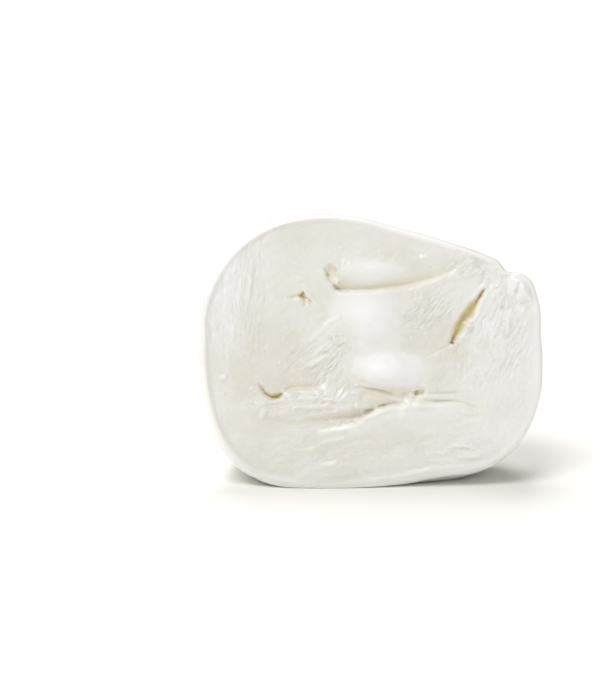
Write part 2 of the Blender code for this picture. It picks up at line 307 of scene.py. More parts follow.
# Thin cracks: line, its depth at each place, and half width.
CRACKS = (
    (((20.2, 1.6), (18.4, 0.6), (16.7, -0.2), (13.9, -1.5), (12.2, -2.8)), (0.45, 0.4, 0.4, 0.35, 0.1), 0.3),
    (((28.6, 15.8), (31.1, 17.0), (33.3, 18.2), (34.8, 19.2)), (0.5, 0.35, 0.4, 0.8), 0.7),
    (((34.6, 16.2), (35.4, 14.3), (36.6, 12.9), (38.4, 12.0)), (0.2, 0.5, 0.45, 0.1), 0.42),
    (((14.0, -12.1), (15.6, -12.6), (18.0, -12.8), (20.4, -12.8), (22.6, -13.2), (24.4, -13.9),
      (25.8, -14.9)),
     (0.2, 0.4, 0.5, 0.4, 0.4, 0.3, 0.1), 0.6),
    (((-9.6, -17.9), (-7.4, -17.2), (-5.2, -16.8), (-3.2, -16.2), (-2.0, -15.6)),
     (0.1, 0.35, 0.8, 0.9, 0.4), 0.7),
    (((-2.2, -15.5), (-0.6, -15.0), (1.0, -14.5)), (0.6, 1.5, 1.0), 0.5),
    (((1.4, -14.2), (3.0, -13.8), (5.2, -13.7)), (1.0, 1.6, 0.6), 0.5),
    (((-3.4, -9.3), (-1.6, -8.9), (0.6, -8.9), (2.2, -9.5), (3.9, -10.5), (5.9, -11.5), (7.2, -12.4)),
     (0.1, 0.3, 0.45, 0.55, 0.5, 0.4, 0.2), 0.9),
    (((7.0, -10.2), (8.2, -11.4), (9.6, -11.6)), (0.5, 0.9, 0.5), 1.6),
    (((10.6, -9.0), (10.8, -10.6), (10.7, -12.6)), (0.5, 1.3, 0.8), 0.5),
    (((-4.8, -3.2), (-3.4, -3.0), (-1.6, -2.1), (0.2, -1.4)), (0.2, 0.7, 0.6, 0.1), 0.6),
    (((-17.9, 20.5), (-16.4, 20.2), (-14.9, 20.6)), (0.05, 0.22, 0.05), 0.3),
    (((-18.4, 16.6), (-17.2, 16.4), (-15.2, 17.2)), (0.1, 0.35, 0.05), 0.3),
    (((0.2, 24.6), (1.2, 24.3), (2.4, 24.5)), (0.05, 0.35, 0.05), 0.42),
)
# Fine ridges: line, height, half width, and how far its ends fade.
RIDGES = (
    (((-29.2, 23.0), (-29.9, 16.0), (-30.7, 10.9), (-31.4, 8.5)), 0.26, 0.42, 3.0),
    (((-31.9, 18.4), (-32.3, 12.1), (-33.0, 6.0)), 0.20, 0.4, 3.0),
    (((-26.0, 15.6), (-26.9, 12.1), (-28.9, 9.4)), 0.18, 0.36, 2.0),
    (((-15.8, 0.8), (-11.7, 5.2), (-9.5, 7.2), (-6.3, 8.7)), 0.30, 0.7, 2.5),
    (((-14.3, -1.1), (-9.5, 1.0), (-4.8, 2.6)), 0.34, 0.8, 2.5),
    (((-15.6, -4.0), (-11.5, -2.4), (-6.8, -0.6)), 0.28, 0.7, 2.0),
    (((18.6, -25.3), (22.0, -24.6), (26.6, -24.9)), 0.35, 0.6, 1.5),
    (((19.4, -27.6), (23.0, -27.9), (27.6, -26.6)), 0.38, 0.55, 1.5),
    (((19.9, 25.6), (21.6, 24.6), (23.4, 25.0)), 0.5, 0.7, 1.0),
)
# Torn flaps and small beads: from, to, half width, height.
LUMPS = (
    ((-3.6, -13.9), (-1.0, -14.0), 0.8, 0.6),
    ((13.4, -11.7), (20.4, -11.9), 0.8, 0.35),
    ((22.9, 6.4), (24.4, 5.6), 0.6, 1.1),
    ((-27.0, -16.3), (-26.5, -15.3), 0.8, 0.5),
    ((-36.9, -7.2), (-36.2, -7.0), 0.7, 0.55),
    ((-38.2, -11.2), (-36.4, -11.0), 0.45, 0.35),
    ((-29.9, -9.8), (-29.6, -9.6), 0.45, 0.4),
)
# Open holes, each between a left and a right edge drawn downwards, with its depth.
HOLES = (
    (((28.0, 15.4), (26.9, 14.6), (25.5, 12.8), (24.0, 11.4), (22.5, 9.6), (21.3, 7.7), (20.3, 5.7),
      (19.7, 4.0), (19.2, 2.5), (18.9, 1.4)),
     ((28.6, 15.4), (27.9, 13.8), (27.2, 12.3), (26.7, 11.4), (26.0, 9.7), (25.3, 8.2), (23.9, 6.7),
      (22.9, 5.0), (21.6, 3.2), (20.6, 1.8)), 2.1),
    (((-28.2, -8.3), (-27.4, -10.0), (-26.4, -11.6), (-24.6, -12.7), (-22.9, -12.6), (-21.6, -11.4)),
     ((-27.8, -8.1), (-26.5, -9.8), (-25.4, -10.8), (-23.9, -11.0), (-22.6, -10.5), (-21.4, -10.5)), 2.1),
    (((-10.0, 16.3), (-9.6, 15.2), (-9.0, 14.1)), ((-9.0, 16.4), (-8.1, 15.4), (-7.8, 14.2)), 1.6),
    (((-11.9, 19.9), (-11.3, 18.2), (-10.9, 16.9), (-9.9, 15.8)),
     ((-11.3, 19.9), (-10.5, 18.4), (-10.0, 17.2), (-9.2, 16.4)), 1.5),
    (((-18.3, 13.2), (-17.4, 12.3), (-17.1, 11.4), (-16.8, 10.6)),
     ((-16.4, 13.4), (-15.9, 12.6), (-15.8, 11.6), (-16.1, 10.7)), 1.6),
    (((-16.6, 12.9), (-15.9, 11.9), (-14.8, 10.8)), ((-15.9, 12.9), (-15.0, 12.1), (-14.2, 11.2)), 1.2),
)
# Hollows: middle, half size, turn, inner and outer share of the fade, depth, and how much warm shade is
# painted in them.
HOLLOWS = (
    # Three creases in the knot, and a hollow near it.
    ((35.9, 14.6), (1.7, 0.55), 78.0, 0.2, 1.6, 0.8, 0.0),
    ((37.6, 11.6), (1.5, 0.5), 20.0, 0.2, 1.6, 0.5, 0.0),
    ((38.6, 17.6), (1.5, 0.5), -35.0, 0.2, 1.6, 0.4, 0.0),
    ((27.0, 22.2), (2.8, 1.0), -24.0, 0.7, 1.5, 0.6, 0.0),
    # A pit at the lobe's right, the hollow under the lobe, and those round the small holes.
    ((11.9, -10.6), (1.0, 0.8), 20.0, 0.7, 1.5, 0.85, 0.55),
    ((3.6, -10.3), (8.0, 1.7), -4.0, 0.3, 1.4, 0.9, 0.28),
    ((-18.6, 12.9), (1.7, 0.55), 8.0, 0.7, 1.5, 0.4, 0.35),
    ((-9.8, 18.6), (1.3, 1.9), 14.0, 0.7, 1.5, 1.1, 0.35),
)
# Where the curd is whiter or warmer: how much whiter, middle, half size, turn, outer share of the fade.
PALE_PATCHES = (
    (-0.6, (-25.0, -6.0), (10.5, 14.0), -6.0, 1.3),
    (-0.14, (-2.0, -24.0), (20.0, 4.5), 3.0, 1.3),
    (-0.45, (16.0, 0.5), (7.0, 10.0), 20.0, 1.4),
    (-0.3, (14.0, 21.0), (12.0, 3.5), -12.0, 1.4),
    (0.5, (-16.0, -13.2), (12.0, 2.8), 3.0, 1.4),
)
# Where whey has run down to the right and lies on the flaky lips: how wet, middle, half size, turn.
WET_PATCHES = (
    (1.0, (23.5, -25.5), (6.5, 3.4), 4.0),
    (0.6, (-19.0, -13.0), (9.0, 2.6), 6.0),
    (0.5, (23.0, 21.5), (6.0, 4.0), -20.0),
)
# Where the curd is torn: middle, half size, turn of the patch, pull in degrees, ridge length and
# width, height.
TORN_PATCHES = (
    ((-11.2, -1.0), (6.2, 8.6), -28.0, 42.0, 1.8, 1.15, 0.66),
    ((-16.6, -5.0), (5.6, 4.6), 0.0, 36.0, 1.8, 1.15, 0.52),
    ((13.5, 9.4), (8.6, 4.6), 28.0, 50.0, 2.2, 1.2, 0.60),
    ((-16.6, -12.4), (10.0, 2.7), 4.0, 12.0, 2.4, 1.2, 0.62),
    ((-7.6, -10.4), (3.6, 3.2), 30.0, 40.0, 1.9, 1.1, 0.5),
    ((-9.0, -16.4), (8.0, 2.2), -8.0, -14.0, 3.4, 1.2, 0.5),
    ((32.0, 5.0), (6.0, 11.5), 10.0, 64.0, 3.4, 1.2, 0.65),
    ((26.0, -4.0), (7.0, 7.0), 10.0, 58.0, 2.4, 1.2, 0.5),
    ((22.5, -25.6), (7.0, 3.2), 0.0, 12.0, 2.8, 1.4, 0.55),
    ((23.6, 20.6), (6.0, 3.6), -20.0, -30.0, 1.9, 1.2, 0.85),
)
LOBE = (4.9, -6.0)


# ---------------------------------------------------------------- where the cream lies

def cream_field(u, v):
    """How far inside the cream's edge a place lies, in mm: a pool, a thin waist and a lobe."""
    def blob(middle, half, degrees):
        along, across = turned(u - middle[0], v - middle[1], degrees)
        power = 2.6
        reach = (np.abs(along / half[0]) ** power + np.abs(across / half[1]) ** power) ** (1 / power)
        return (1.0 - reach) * min(half)

    edge = 0.6 * waves(u, v, 3.2, 3.2, 21) + 0.25 * waves(u, v, 1.3, 1.3, 23)
    parts = (
        blob((-1.6, 10.8), (6.8, 3.7), 2.0),
        blob((-6.6, 7.4), (5.4, 1.5), 22.0),
        blob((0.2, 5.2), (4.8, 5.4), 18.0),
        blob((1.6, 0.4), (4.6, 5.0), 20.0),
        blob((4.9, -4.7), (8.4, 3.9), -4.0),
    )
    total = np.logaddexp.reduce([part / 0.9 for part in parts], axis=0) * 0.9
    return total + edge


def cream_white(u, v):
    """How white and thick the cream lies: most under the crown's fold and on the lobe, thin between."""
    thin = 0.62 * soft_patch(u, v, (5.0, 1.2), (9.5, 4.6), 8.0, 0.2, 1.3)
    thin = np.maximum(thin, 0.5 * soft_patch(u, v, (-7.0, 3.0), (4.0, 5.0), 0.0, 0.2, 1.4))
    edge = 3.0 - 2.2 * smooth(-5.0, -8.0, v)
    return smooth(-edge, edge, cream_field(u, v)) * (1.0 - thin)


def smear_field(u, v):
    """How far a place lies inside the smear of cream on the bulge above the crown's fold, in mm."""
    along, across = turned(u - 0.4, v - 18.9, 4.0)
    reach = np.hypot(along / 6.9, across / 2.6)
    return (1.0 - reach) * 2.6 + 0.5 * waves(u, v, 2.2, 2.2, 22)


def smear_white(u, v):
    """How white that smear is, softer at its edge than the pool."""
    return 0.85 * smooth(-1.8, 2.0, smear_field(u, v))


def lobe_swell(u, v):
    """The lobe of cream pushed out at the bottom of the pool: a long slope above, a steep front below."""
    across = (u - LOBE[0]) / np.where(u < LOBE[0], 9.8, 8.8)
    up = v - LOBE[1] + 0.07 * (u - LOBE[0]) + 0.2 * waves(u, v, 4.4, 9.0, 24)
    up = up / np.where(up > 0, 5.2, 3.0)
    reach = np.hypot(across, up)
    return 2.15 * smooth(1.15, 0.0, reach) + 0.25 * smooth(1.6, 0.8, reach)


def lobe_sag(u, v):
    """How far the lobe's front hangs down over what is below it."""
    return -0.55 * soft_patch(u, v, (LOBE[0], LOBE[1] - 1.5), (7.4, 1.9), -4.0, 0.2, 1.2)


# ---------------------------------------------------------------- the relief of the cut face

def face_swell(u, v):
    """The face's own gentle bulge, its big folds and its slow waves, without anything fine."""
    w = FACE_BULGE * np.maximum(0.0, 1.0 - (u / HALF_LENGTH) ** 2 - ((v - 1.0) / CROWN_HEIGHT) ** 2)
    w = w + 0.40 * waves(u, v, 12.0, 12.0, 3) + 0.20 * waves(u, v, 5.0, 5.0, 4)

    off, mm, depth = CROWN_LEDGE.beside(u, v)
    fade = CROWN_LEDGE.fade(mm, 1.6)
    recess = np.where(off > 0.6, hump(off - 0.6, 2.3), hump(off - 0.6, 0.55))
    w = w - fade * 1.05 * depth * recess
    w = w + fade * 0.45 * depth * hump(off - 5.2, 2.6) + fade * 0.2 * depth * hump(off + 1.0, 1.2)

    # The layers between the left lip and the long crack stand proud of the belly below them.
    w = w + 0.9 * soft_patch(u, v, (-15.5, -12.8), (12.0, 2.6), 3.0, 0.3, 1.6)
    # The pool swells below the crown's ledge and sinks again above the lobe.
    return w + 1.0 * hump(u + 1.0, 8.0) * hump(v - 7.5, 4.6) - 0.9 * hump(u - 3.0, 8.0) * hump(v + 0.4, 3.4)


def ledge(off, back, back_reach, lip, lip_reach, crisp):
    """Height beside a torn edge: set back on the left of its line, a raised lip on the right."""
    behind = smooth(-crisp, crisp, off)
    raised = lip * (1.0 - behind) * np.exp(-np.maximum(-off, 0.0) / lip_reach)
    return raised - back * behind * np.exp(-np.maximum(off, 0.0) / back_reach)


def paint_warm_shade(face, amount):
    """Paints warm shade on the curd to this amount, for light caught between walls and the shade there,
    unless more is painted there already.
    """
    face["deep"] = np.maximum(face["deep"], amount)


def curd_paleness(u, v):
    """How white the curd is: warmer left of the middle and low in the belly, whiter to the right."""
    pale = 0.36 + 0.36 * smooth(12.0, 30.0, u) + 0.12 * smooth(10.0, 22.0, v)
    pale = pale + 0.4 * smooth(-29.0, -36.0, u) * smooth(-6.0, 6.0, v)
    for amount, middle, half, degrees, outer in PALE_PATCHES:
        pale = pale + amount * soft_patch(u, v, middle, half, degrees, 0.4, outer)
    return pale + 0.16 * waves(u, v, 7.0, 7.0, 77)


def tear_layers(face, bare):
    """Ridges of torn curd, which way they are pulled, and how thickly flakes and fibres lie on them."""
    u, v = face["u"], face["v"]
    face["pull"] = np.full_like(u, math.radians(14.0))
    for index, (middle, half, patch_turn, degrees, length, width, height) in enumerate(TORN_PATCHES):
        mask = soft_patch(u, v, middle, half, patch_turn, 0.35, 1.75) * bare
        mask = mask * smooth(-1.3, 0.2, waves(u, v, 2.6, 2.6, 150 + index))
        ridges = torn(u, v, degrees, length, width, 40 + 9 * index)
        face["w"] += 0.68 * height * mask * (ridges - 0.25)
        # The ridge tops are painted paler as a highlight, and the valleys between them darker with warm
        # painted shade.
        face["pale"] += mask * (0.30 * smooth(0.05, 0.6, ridges) - 0.16)
        paint_warm_shade(face, 0.08 * mask * smooth(0.30, 0.05, ridges))
        face["pull"] = np.where(mask * height > face["scales"], math.radians(degrees), face["pull"])
        face["scales"] = np.maximum(face["scales"], mask * height)
        way = min(WAYS, key=lambda name: abs(WAYS[name] - abs(degrees)))
        face[way] = np.maximum(face[way], mask * min(1.0, 1.25 * height))
    face["scales"] = np.minimum(1.0, 1.25 * face["scales"])


def lay_grain(face, bare):
    """Grain over the rest: nearly upright streaks at the left, fibres at the right, faint elsewhere."""
    u, v = face["u"], face["v"]
    left, right = smooth(-23.0, -28.0, u), smooth(24.0, 29.0, u)
    streaks, fibres = left * smooth(-8.0, 4.0, v), right * smooth(-6.0, 6.0, v)
    face["steep"] = np.maximum(face["steep"], 0.35 * right)
    face["level"] = np.maximum(face["level"], 0.25 * smooth(-12.0, -20.0, v) * (1.0 - right))
    face["slanting"] = np.maximum(face["slanting"], 0.18 * bare * (1.0 - left) * (1.0 - right))
    face["upright"] = 0.55 * streaks
    for height, where, degrees, length, width, seed in (
        (0.14, streaks, 86.0, 3.4, 0.9, 60),
        (0.26, fibres, 66.0, 3.0, 0.9, 64),
        (0.16, bare, 14.0, 2.8, 1.5, 68),
        (0.14, smooth(-18.0, -22.0, v), 4.0, 6.0, 1.4, 71),
    ):
        face["w"] += height * where * pulled_grain(u, v, degrees, length, width, seed)
    face["w"] += 0.07 * bare * waves(u, v, 0.9, 0.9, 73)


def fold_ledges(face):
    """The two long ledges, then the torn edges, the thin cracks and the fine ridges."""
    u, v = face["u"], face["v"]
    # The long crack, with its bright ledge below, which is painted paler as a highlight; warm shade is
    # painted in the crack.
    off, mm, depth = BELLY_LEDGE.beside(u, v)
    fade = BELLY_LEDGE.fade(mm, 2.0)
    crack = np.where(off > 0.8, hump(off - 0.8, 1.5), hump(off - 0.8, 0.6))
    face["w"] -= fade * 0.55 * depth * crack
    face["w"] += fade * (0.42 * hump(off + 0.4, 0.9) - 0.25 * hump(off + 4.0, 2.5))
    face["pale"] += 0.52 * fade * hump(off + 1.4, 1.6)
    paint_warm_shade(face, fade * crack * np.clip(depth / 4.0, 0, 1) * 0.6)

    # The crown's bulge hangs over its recess.
    off, mm, depth = CROWN_LEDGE.beside(u, v)
    fade = CROWN_LEDGE.fade(mm, 1.6)
    face["shift"] = lobe_sag(u, v) - 0.3 * fade * hump(off - 1.9, 1.1) * np.clip(depth / 2.6, 0, 1)
    # Warm shade is painted in the recess under the bulge.
    paint_warm_shade(face, 0.5 * fade * hump(off - 1.1, 1.4) * np.clip(depth / 2.4, 0, 1))

    for places, back, back_reach, lip, lip_reach, ends, crisp in LEDGES:
        line = Line(places)
        off, mm, _ = line.beside(u, v)
        fade = line.fade(mm, ends)
        face["w"] += fade * ledge(off, back, back_reach, lip, lip_reach, crisp)
        # Warm shade is painted at the foot of each torn edge, on its set-back side.
        foot = hump(np.maximum(off - 0.3, 0), 0.8)
        paint_warm_shade(face, 0.26 * min(1.2, back) * fade * foot * smooth(-0.3, 0.1, off))
    wobble = 1.0 + 0.5 * waves(u, v, 1.1, 1.1, 33)
    for places, depths, half_width in CRACKS:
        line = Line(places, depths)
        off, mm, depth = line.beside(u, v)
        cut = line.fade(mm, 0.8) * hump(off, half_width * wobble)
        face["w"] -= 0.7 * depth * cut
        # Warm shade is painted in each crack, the more the deeper it is.
        paint_warm_shade(face, 0.5 * np.clip(depth / 1.6, 0, 1) * cut)
    for places, height, half_width, ends in RIDGES:
        line = Line(places)
        off, mm, _ = line.beside(u, v)
        face["w"] += height * line.fade(mm, ends) * hump(off, half_width)


def raise_knot(face):
    """The knot is a round lump in the face, with a shallow groove round it."""
    reach = np.hypot(face["u"] - KNOT_ON_FACE[0], (face["v"] - KNOT_ON_FACE[1]) * 0.9)
    face["w"] = face["w"] + 1.5 * smooth(5.4, 0.8, reach) - 0.35 * hump(reach - 5.0, 1.0)
    face["pale"] = np.maximum(face["pale"], 0.9 * smooth(6.0, 4.0, reach))


def open_hole(face, left, right, depth):
    """Opens a torn hole between two ragged edges, with walls that slope in and pale lips, and paints warm
    shade inside it.
    """
    u, v = face["u"], face["v"]
    left, right = Line(left), Line(right)
    off_left, mm, _ = left.beside(u, v)
    off_right, _, _ = right.beside(u, v)
    inside = np.minimum(off_left, -off_right) + 0.16 * waves(u, v, 0.8, 0.8, 31)
    ends = smooth(-0.02, 0.25, mm) * smooth(left.length + 0.02, left.length - 0.25, mm)
    inside = np.where(ends > 0, inside, -9.0)
    near = smooth(1.6, 0.9, np.minimum(np.abs(off_left), np.abs(off_right)))
    face["w"] -= depth * smooth(-0.15, 0.95, inside) * ends
    face["w"] += 0.16 * hump(inside + 0.55, 0.4) * near * ends
    face["film"] *= 1.0 - smooth(-0.2, 0.2, inside) * ends
    paint_warm_shade(face, smooth(0.1, 0.6, inside) * ends)


def press_hollows(face):
    """The hollows and the open holes, then the flaps and beads that stand in and beside them."""
    u, v = face["u"], face["v"]
    for middle, half, degrees, inner, outer, depth, painted_shade_amount in HOLLOWS:
        patch = soft_patch(u, v, middle, half, degrees, inner, outer)
        face["w"] -= depth * patch
        # Warm shade is painted in the hollow.
        paint_warm_shade(face, painted_shade_amount * patch)
    for left_edge, right_edge, depth in HOLES:
        open_hole(face, left_edge, right_edge, depth)
    for start, end, half_width, height in LUMPS:
        off, _, _ = Line((start, end)).beside(u, v)
        bump = np.clip(1.0 - (off / half_width) ** 2, 0, 1) ** 0.6
        face["w"] += height * bump
        face["deep"] *= 1.0 - 0.9 * bump
        face["pale"] = np.maximum(face["pale"], 0.65 * bump)


def cut_face(u, v):
    """The whole relief of the cut face and what its look needs, as values at each place.

    w is the height and shift a move in v. film says how white cream lies there, pale how white the
    curd is, with painted highlights on lit ledges and torn ridges, the shade value how much warm shade
    is painted in cracks, holes, hollows and under ledges, wet how wet it is, and scales how torn.
    The names in WAYS say how strongly it is torn in each way, and pull is the direction of the flakes.
    """
    swell = face_swell(u, v) + lobe_swell(u, v)
    field, smear = cream_field(u, v), smear_field(u, v)
    drip = soft_patch(u, v, (8.0, -10.6), (2.4, 2.4))
    covered = np.maximum(np.maximum(smooth(-1.0, 0.6, field), smooth(-1.0, 0.6, smear)), 0.8 * drip)
    bare = 1.0 - covered
    face = {"u": u, "v": v, "w": swell.copy(), "pale": curd_paleness(u, v)}
    face["film"] = np.maximum(np.maximum(cream_white(u, v), smear_white(u, v)), 0.75 * drip)
    for key in ("deep", "wet", "scales", *WAYS):
        face[key] = np.zeros_like(u)
    tear_layers(face, bare)
    lay_grain(face, bare)
    # Cream hides the curd, and the curd gives way under it.
    face["w"] = swell + (face["w"] - swell) * (1.0 - 0.9 * covered)
    face["w"] -= 0.8 * np.maximum(smooth(1.0, 2.6, field), smooth(0.8, 1.8, smear))
    fold_ledges(face)
    raise_knot(face)
    press_hollows(face)
    for amount, middle, half, degrees in WET_PATCHES:
        face["wet"] = np.maximum(face["wet"], amount * soft_patch(u, v, middle, half, degrees))
    return face


# ---------------------------------------------------------------- the skin

def drawn_lines(points, steps, wander, wander_step, seed):
    """Wandering lines in the skin with these steps between them: 1 on a line, and less beside it."""
    strayed = wander * lattice(points / wander_step, seed)[..., None]
    return 1.0 - np.abs(lattice(points / np.array(steps) + strayed, seed + 1))


def skin_relief(points):
    """How far the skin stands out or dips, in mm: dents, drawn wrinkles, creases and pleats."""
    away = points - KNOT
    distance = np.linalg.norm(away, axis=-1)
    turn = np.arctan2(away[..., 2], away[..., 1])
    gather = hump(distance, 26.0) * smooth(3.0, 15.0, distance)
    wander = 1.2 * lattice(points / 11.0, 81)
    relief = -1.0 * gather * (0.5 + 0.5 * np.cos(7.0 * turn + wander)) ** 2
    relief -= 0.14 * gather * (0.5 + 0.5 * np.cos(15.0 * turn + 3.0 * wander)) ** 2
    relief += 0.55 * lattice(points / 15.0, 82)
    relief += 0.12 * lattice(points / 5.0, 83)
    relief -= 0.20 * drawn_lines(points, (9.0, 4.5, 6.0), 0.6, 6.0, 84) ** 7
    relief -= 0.50 * drawn_lines(points, (22.0, 11.0, 13.0), 0.5, 9.0, 86) ** 9
    creases = drawn_lines(points, (3.4, 1.6, 2.2), 0.4, 3.0, 89)
    relief -= 0.11 * creases**5 * smooth(-0.5, 0.4, lattice(points / 9.0, 91))
    relief += 0.05 * lattice(points / 1.9, 88)
    for middle, radius, height in (
        ((-24.0, 14.0, -27.0), 2.6, 0.9),
        ((-27.5, 9.5, -24.5), 1.3, 0.45),
        ((10.0, 16.0, -28.0), 1.6, 0.4),
    ):
        reach = np.linalg.norm(points - np.array(middle), axis=-1) / radius
        relief += height * np.clip(1 - reach**2, 0, 1) ** 0.7
    return relief


def outward(points):
    """Which way is out at each point of a closed band of rings, in a (rows, round, 3) array."""
    along = np.roll(points, -1, axis=1) - np.roll(points, 1, axis=1)
    down = np.gradient(points, axis=0)
    normal = np.cross(along, down)
    return normal / np.maximum(np.linalg.norm(normal, axis=-1, keepdims=True), 1e-9)


def ball_rings(angle):
    """Rings of the rim and of the back, with the knot's flat and step in them."""
    wide_u, wide_v = outline(angle)
    wide = np.hypot(wide_u, wide_v)
    inset = cut_inset(angle)
    rim_depth = 1.2 * inset + 1.0
    by_knot = knot_outline(np.arctan2(wide_v, wide_u)) / wide
    rings = []
    for row in range(RIM_ROWS + 1):
        quarter = row / RIM_ROWS * math.pi / 2
        share = 1.0 - inset / wide * (1.0 - math.sin(quarter))
        rings.append((share + by_knot, -rim_depth * (1.0 - math.cos(quarter))))
    roundness = BACK_ROUNDNESS + UNDERSIDE_ROUNDNESS * np.maximum(0.0, -np.sin(angle))
    for row in range(1, BACK_ROWS):
        quarter = row / BACK_ROWS * math.pi / 2
        share = max(0.0, math.cos(quarter)) ** (2.0 / roundness)
        depth = (HALF_DEPTH - rim_depth) * (1.0 - DEPTH_TAPER * np.cos(angle) * share)
        w = -rim_depth - depth * math.sin(quarter) ** (2.0 / roundness)
        rings.append((share + by_knot * hump(w + rim_depth, KNOT_BACK), w))
    return np.stack([
        np.stack((OUTLINE_U + wide_u * share, OUTLINE_V + wide_v * share, w + 0 * share), -1)
        for share, w in rings
    ])


# ---------------------------------------------------------------- meshes

def mesh_object(name, points, faces, values, material):
    """A smooth-shaded mesh from points in metres, facing outwards, with a value at each point."""
    mesh = bpy.data.meshes.new(name)
    mesh.from_pydata(points.tolist(), [], faces)
    tris = np.array([(f[0], f[i], f[i + 1]) for f in faces for i in range(1, len(f) - 1)])
    a, b, c = (points[tris[:, i]] for i in range(3))
    volume = np.einsum("ij,ij->i", a, np.cross(b, c)).sum()
    if volume < 0:
        mesh.flip_normals()
    for key, value in values.items():
        kind, field = ("FLOAT_VECTOR", "vector") if value.ndim == 2 else ("FLOAT", "value")
        attribute = mesh.attributes.new(key, kind, "POINT")
        attribute.data.foreach_set(field, value.astype(np.float32).ravel())
    mesh.materials.append(material)
    mesh.shade_smooth()
    obj = bpy.data.objects.new(name, mesh)
    bpy.context.scene.collection.objects.link(obj)
    return obj


def ring_faces(first, second, count):
    """Quads between two rings of the same count."""
    here = np.arange(count)
    there = (here + 1) % count
    return np.stack((first + here, first + there, second + there, second + here), -1).tolist()


def thinning_faces(first, second, count):
    """Triangles between a ring and the next one, which has half as many points."""
    faces = []
    for i in range(count // 2):
        a, b, c = first + 2 * i, first + 2 * i + 1, first + (2 * i + 2) % count
        d, e = second + i, second + (i + 1) % (count // 2)
        faces += [(a, b, d), (b, e, d), (b, c, e)]
    return faces


def half_faces(back_rows):
    """Faces of the half: the cut face from its middle out, the rim, the thinned skin and its tip."""
    faces = [(0, 1 + (i + 1) % ROUND, 1 + i) for i in range(ROUND)]
    for row in range(FACE_ROWS - 1 + RIM_ROWS):
        faces += ring_faces(1 + row * ROUND, 1 + (row + 1) * ROUND, ROUND)
    start, back_round = 1 + (FACE_ROWS + RIM_ROWS) * ROUND, ROUND // 2
    faces += thinning_faces(start - ROUND, start, ROUND)
    for row in range(back_rows - 1):
        faces += ring_faces(start + row * back_round, start + (row + 1) * back_round, back_round)
    tip = start + back_rows * back_round
    last = tip - back_round
    faces += [(last + i, last + (i + 1) % back_round, tip) for i in range(back_round)]
    return faces


def half_values(face, to_edge, behind):
    """What the curd's look needs at each point; behind is how many points lie behind the face."""
    skin = np.concatenate((smooth(1.2, 0.0, to_edge), np.ones(behind)))
    values = {"skin": skin}
    for key in ("film", "scales", *WAYS, "deep", "wet", "pull"):
        values[key] = np.concatenate((face[key], np.zeros(behind)))
    for key in ("film", "scales", *WAYS):
        values[key] = values[key] * (1.0 - skin)
    rim_pale = np.repeat(np.linspace(1.0, 0.3, RIM_ROWS), ROUND)
    values["pale"] = np.concatenate((face["pale"], rim_pale, np.full(behind - len(rim_pale), 0.2)))
    along, up = np.cos(values["pull"]), np.sin(values["pull"])
    values["pull"] = np.stack((along, np.sin(LEAN_BACK) * up, np.cos(LEAN_BACK) * up), -1)
    return values


def make_half(material):
    """The half ball in one closed mesh, and how far it is moved to stand where the curd solid does."""
    angle = even_angles(ROUND)
    wide_u, wide_v = outline(angle)
    wide = np.hypot(wide_u, wide_v)
    share = (np.arange(1, FACE_ROWS + 1) / FACE_ROWS)[:, None] ** FACE_ROW_BIAS
    by_knot = knot_outline(np.arctan2(wide_v, wide_u)) / wide
    reach = 1.0 - cut_inset(angle) / wide + by_knot * share**12
    u = np.concatenate(([OUTLINE_U], (OUTLINE_U + wide_u * share * reach).ravel()))
    v = np.concatenate(([OUTLINE_V], (OUTLINE_V + wide_v * share * reach).ravel()))
    face = cut_face(u, v)
    # The relief calms down towards the cut edge, where the skin stands up in a low bead.
    to_edge = np.concatenate(([40.0], ((1.0 - share) * reach * wide).ravel()))
    calm = smooth(0.0, 2.6, to_edge)
    bead = 0.28 + 0.22 * smooth(-10.0, -22.0, u) - 0.22 * smooth(16.0, 30.0, u)
    w = face["w"] * calm + bead * (hump(to_edge - 0.5, 0.6) - 0.05 * hump(to_edge - 2.0, 0.9))
    face_points = np.stack((u, v + face["shift"] * calm, w), -1)

    rings = ball_rings(angle)
    rim, back = rings[1:RIM_ROWS + 1], rings[RIM_ROWS + 1:, ::2]
    rim_out = outward(rings[:RIM_ROWS + 1])[1:]
    back_out = outward(np.concatenate((rings[RIM_ROWS:RIM_ROWS + 1, ::2], back)))[1:]
    # The skin's relief starts from nothing at the cut edge.
    ease = smooth(0.0, 1.0, np.linspace(0.0, 1.0, RIM_ROWS + 1)[1:, None])
    rim = rim + rim_out * (0.35 * skin_relief(rim) * ease)[..., None]
    ease = smooth(-1.0, -12.0, back[..., 2]) * 0.65 + 0.35
    back = back + back_out * (ease * skin_relief(back))[..., None]
    tip = np.array([[OUTLINE_U, OUTLINE_V, back[-1, :, 2].mean()]])
    all_points = np.concatenate((face_points, rim.reshape(-1, 3), back.reshape(-1, 3), tip))

    # The half stands with its middle and its back where the curd solid has them.
    low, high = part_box("curd")
    furthest = place(*rings.reshape(-1, 3).T)[:, 1].max()
    origin = np.array(((low.x + high.x) / 2 / MM - OUTLINE_U, high.y / MM - furthest, 0.0))
    u, v, w = all_points.T
    points = (place(u, settle(u, v, w), w) + origin) * MM
    values = half_values(face, to_edge, len(all_points) - len(face_points))
    return mesh_object("curd_and_skin", points, half_faces(len(back)), values, material), origin


